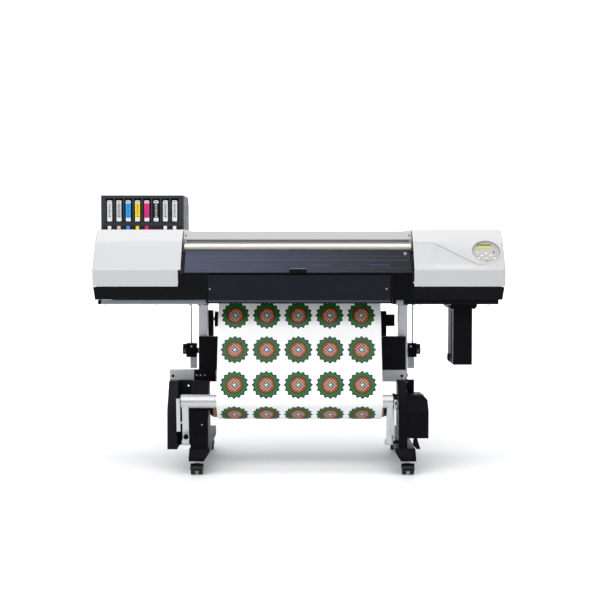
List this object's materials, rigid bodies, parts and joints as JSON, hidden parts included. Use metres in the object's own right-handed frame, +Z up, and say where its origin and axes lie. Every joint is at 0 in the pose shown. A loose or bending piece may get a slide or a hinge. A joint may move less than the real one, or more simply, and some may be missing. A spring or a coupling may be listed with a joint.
{
  "type": "roll printer cutter",
  "caption": "Wide roll-fed printer cutter on a wheeled stand, with side covers, smoked front cover, ink cartridge bay, tilted control panel, dancer bar take-up and rear roll feed.",
  "frame": {"origin": "on the floor, under the middle of the machine's overall box", "axes": "+X to the operator's right, +Y to the back, +Z up; the operator stands on the -Y side"},
  "size_m": [1.896, 0.74, 1.295],
  "materials": {
    "white_cover": "smooth gloss",
    "champagne": "satin metallic",
    "rear_panel": "satin",
    "frame_grey": "satin",
    "stand_grey": "satin",
    "black_moulding": "fine texture",
    "dark_panel": "fine texture",
    "guard_grey": "fine texture",
    "bezel": "satin",
    "bay_grey": "fine texture",
    "smoked_window": "tinted",
    "mechanism": "satin",
    "machined": "satin anodised",
    "steel": "brushed",
    "rubber_wheel": "matte",
    "board": "matte",
    "media": "satin vinyl",
    "lever_black": "satin",
    "cartridge_grey": "satin",
    "cartridge_cyan": "satin",
    "cartridge_yellow": "satin",
    "cartridge_magenta": "satin",
    "cartridge_black": "satin",
    "cartridge_white": "satin",
    "key_white": "satin",
    "key_blue": "satin",
    "caster_black": "satin"
  },
  "bodies": {
    "machine": {"base_frame": "frame_grey", "lower_mouldings": "black_moulding", "left_cover": "white_cover", "right_cover": "white_cover", "top_cover": "champagne", "rear_cover": "rear_panel", "front_panel": "dark_panel", "control_panel": "bezel", "ink_bay": "bay_grey", "waste_box": "dark_panel", "guide_rail": "machined", "carriage_drive": "mechanism", "platen": "machined", "cap_station": "mechanism", "stand_frame": "stand_grey", "cross_panel": "dark_panel", "feet": "dark_panel", "leg_covers": "dark_panel", "dancer_guard": "guard_grey", "takeup_drive": "dark_panel", "feed_frame": "dark_panel", "fasteners": "steel", "media_web": "media"},
    "front_cover": {"front_cover": "champagne", "front_window": "smoked_window"},
    "print_carriage": {"print_carriage": "mechanism"},
    "blade_holder": {"blade_holder": "steel"},
    "grit_roller": {"grit_roller": "steel"},
    "pinch_arms": {"pinch_arms": "mechanism"},
    "pinch_wheels": {"pinch_wheels": "rubber_wheel"},
    "loading_lever": {"loading_lever": "black_moulding"},
    "dancer": {"dancer": "machined"},
    "takeup_core": {"takeup_core": "board"},
    "supply_roll": {"supply_roll": "media"},
    "clamp_levers": {"clamp_levers": "lever_black"},
    "cartridge_1": {"cartridge_1": "cartridge_grey"},
    "cartridge_2": {"cartridge_2": "cartridge_grey"},
    "cartridge_3": {"cartridge_3": "cartridge_cyan"},
    "cartridge_4": {"cartridge_4": "cartridge_yellow"},
    "cartridge_5": {"cartridge_5": "cartridge_magenta"},
    "cartridge_6": {"cartridge_6": "cartridge_black"},
    "cartridge_7": {"cartridge_7": "cartridge_white"},
    "cartridge_8": {"cartridge_8": "cartridge_white"},
    "menu_key": {"menu_key": "key_white"},
    "up_key": {"up_key": "key_white"},
    "left_key": {"left_key": "key_white"},
    "enter_key": {"enter_key": "key_white"},
    "right_key": {"right_key": "key_white"},
    "down_key": {"down_key": "key_white"},
    "function_key": {"function_key": "key_white"},
    "setup_key": {"setup_key": "key_white"},
    "power_key": {"power_key": "key_blue"},
    "caster_fork_1": {"caster_fork_1": "caster_black"},
    "caster_wheels_1": {"caster_wheels_1": "caster_black"},
    "caster_fork_2": {"caster_fork_2": "caster_black"},
    "caster_wheels_2": {"caster_wheels_2": "caster_black"},
    "caster_fork_3": {"caster_fork_3": "caster_black"},
    "caster_wheels_3": {"caster_wheels_3": "caster_black"},
    "caster_fork_4": {"caster_fork_4": "caster_black"},
    "caster_wheels_4": {"caster_wheels_4": "caster_black"}
  },
  "joints": [
    {"name": "front_cover_hinge", "type": "hinge", "parent": "machine", "child": "front_cover", "pos_m": [0, -0.215, 1.072], "axis": [-1, 0, 0], "range_deg": [0, 80]},
    {"name": "carriage_travel", "type": "slide", "parent": "machine", "child": "print_carriage", "axis": [-1, 0, 0], "range_m": [0, 1.36]},
    {"name": "blade_drop", "type": "slide", "parent": "print_carriage", "child": "blade_holder", "axis": [0, 0, -1], "range_m": [0, 0.003], "stiffness_N_per_m": 200, "springref_m": -0.004},
    {"name": "grit_roller_spin", "type": "hinge", "parent": "machine", "child": "grit_roller", "pos_m": [0, 0.11, 0.868], "axis": [1, 0, 0], "continuous": true},
    {"name": "loading_lever_turn", "type": "hinge", "parent": "machine", "child": "loading_lever", "pos_m": [-0.493, 0.25, 0.915], "axis": [-1, 0, 0], "range_deg": [0, 16]},
    {"name": "pinch_lift", "type": "hinge", "parent": "machine", "child": "pinch_arms", "pos_m": [0, 0.15, 0.915], "axis": [-1, 0, 0], "range_deg": [0, 8]},
    {"name": "pinch_wheel_spin", "type": "hinge", "parent": "pinch_arms", "child": "pinch_wheels", "pos_m": [0, 0.11, 0.8896], "axis": [1, 0, 0], "continuous": true},
    {"name": "dancer_swing", "type": "hinge", "parent": "machine", "child": "dancer", "pos_m": [0, -0.31, 0.145], "axis": [1, 0, 0], "range_deg": [0, 25], "deforming": ["media_web"]},
    {"name": "takeup_spin", "type": "hinge", "parent": "machine", "child": "takeup_core", "pos_m": [0, -0.262, 0.297], "axis": [1, 0, 0], "continuous": true},
    {"name": "supply_spin", "type": "hinge", "parent": "machine", "child": "supply_roll", "pos_m": [0, 0.264, 0.68], "axis": [1, 0, 0], "continuous": true},
    {"name": "clamp_lever_turn", "type": "hinge", "parent": "machine", "child": "clamp_levers", "pos_m": [0, 0.264, 0.518], "axis": [1, 0, 0], "range_deg": [0, 90]},
    {"name": "cartridge_1_pull", "type": "slide", "parent": "machine", "child": "cartridge_1", "axis": [0, -1, 0], "range_m": [0, 0.2]},
    {"name": "cartridge_2_pull", "type": "slide", "parent": "machine", "child": "cartridge_2", "axis": [0, -1, 0], "range_m": [0, 0.2]},
    {"name": "cartridge_3_pull", "type": "slide", "parent": "machine", "child": "cartridge_3", "axis": [0, -1, 0], "range_m": [0, 0.2]},
    {"name": "cartridge_4_pull", "type": "slide", "parent": "machine", "child": "cartridge_4", "axis": [0, -1, 0], "range_m": [0, 0.2]},
    {"name": "cartridge_5_pull", "type": "slide", "parent": "machine", "child": "cartridge_5", "axis": [0, -1, 0], "range_m": [0, 0.2]},
    {"name": "cartridge_6_pull", "type": "slide", "parent": "machine", "child": "cartridge_6", "axis": [0, -1, 0], "range_m": [0, 0.2]},
    {"name": "cartridge_7_pull", "type": "slide", "parent": "machine", "child": "cartridge_7", "axis": [0, -1, 0], "range_m": [0, 0.2]},
    {"name": "cartridge_8_pull", "type": "slide", "parent": "machine", "child": "cartridge_8", "axis": [0, -1, 0], "range_m": [0, 0.2]},
    {"name": "menu_key_press", "type": "slide", "parent": "machine", "child": "menu_key", "axis": [0, 0.866, -0.5], "range_m": [0, 0.0012], "stiffness_N_per_m": 300, "springref_m": -0.002},
    {"name": "up_key_press", "type": "slide", "parent": "machine", "child": "up_key", "axis": [0, 0.866, -0.5], "range_m": [0, 0.0012], "stiffness_N_per_m": 300, "springref_m": -0.002},
    {"name": "left_key_press", "type": "slide", "parent": "machine", "child": "left_key", "axis": [0, 0.866, -0.5], "range_m": [0, 0.0012], "stiffness_N_per_m": 300, "springref_m": -0.002},
    {"name": "enter_key_press", "type": "slide", "parent": "machine", "child": "enter_key", "axis": [0, 0.866, -0.5], "range_m": [0, 0.0012], "stiffness_N_per_m": 300, "springref_m": -0.002},
    {"name": "right_key_press", "type": "slide", "parent": "machine", "child": "right_key", "axis": [0, 0.866, -0.5], "range_m": [0, 0.0012], "stiffness_N_per_m": 300, "springref_m": -0.002},
    {"name": "down_key_press", "type": "slide", "parent": "machine", "child": "down_key", "axis": [0, 0.866, -0.5], "range_m": [0, 0.0012], "stiffness_N_per_m": 300, "springref_m": -0.002},
    {"name": "function_key_press", "type": "slide", "parent": "machine", "child": "function_key", "axis": [0, 0.866, -0.5], "range_m": [0, 0.0012], "stiffness_N_per_m": 300, "springref_m": -0.002},
    {"name": "setup_key_press", "type": "slide", "parent": "machine", "child": "setup_key", "axis": [0, 0.866, -0.5], "range_m": [0, 0.0012], "stiffness_N_per_m": 300, "springref_m": -0.002},
    {"name": "power_key_press", "type": "slide", "parent": "machine", "child": "power_key", "axis": [0, 0.866, -0.5], "range_m": [0, 0.0012], "stiffness_N_per_m": 300, "springref_m": -0.002},
    {"name": "caster_1_swivel", "type": "hinge", "parent": "machine", "child": "caster_fork_1", "pos_m": [-0.47, -0.32, 0.065], "axis": [0, 0, 1], "continuous": true},
    {"name": "caster_1_roll", "type": "hinge", "parent": "caster_fork_1", "child": "caster_wheels_1", "pos_m": [-0.47, -0.338, 0.0235], "axis": [1, 0, 0], "continuous": true},
    {"name": "caster_2_swivel", "type": "hinge", "parent": "machine", "child": "caster_fork_2", "pos_m": [0.502, -0.32, 0.065], "axis": [0, 0, 1], "continuous": true},
    {"name": "caster_2_roll", "type": "hinge", "parent": "caster_fork_2", "child": "caster_wheels_2", "pos_m": [0.502, -0.338, 0.0235], "axis": [1, 0, 0], "continuous": true},
    {"name": "caster_3_swivel", "type": "hinge", "parent": "machine", "child": "caster_fork_3", "pos_m": [-0.47, 0.32, 0.065], "axis": [0, 0, 1], "continuous": true},
    {"name": "caster_3_roll", "type": "hinge", "parent": "caster_fork_3", "child": "caster_wheels_3", "pos_m": [-0.47, 0.302, 0.0235], "axis": [1, 0, 0], "continuous": true},
    {"name": "caster_4_swivel", "type": "hinge", "parent": "machine", "child": "caster_fork_4", "pos_m": [0.502, 0.32, 0.065], "axis": [0, 0, 1], "continuous": true},
    {"name": "caster_4_roll", "type": "hinge", "parent": "caster_fork_4", "child": "caster_wheels_4", "pos_m": [0.502, 0.302, 0.0235], "axis": [1, 0, 0], "continuous": true}
  ],
  "couplings": [
    {"joint": "pinch_lift", "follows": "loading_lever_turn", "ratio": 0.5}
  ]
}
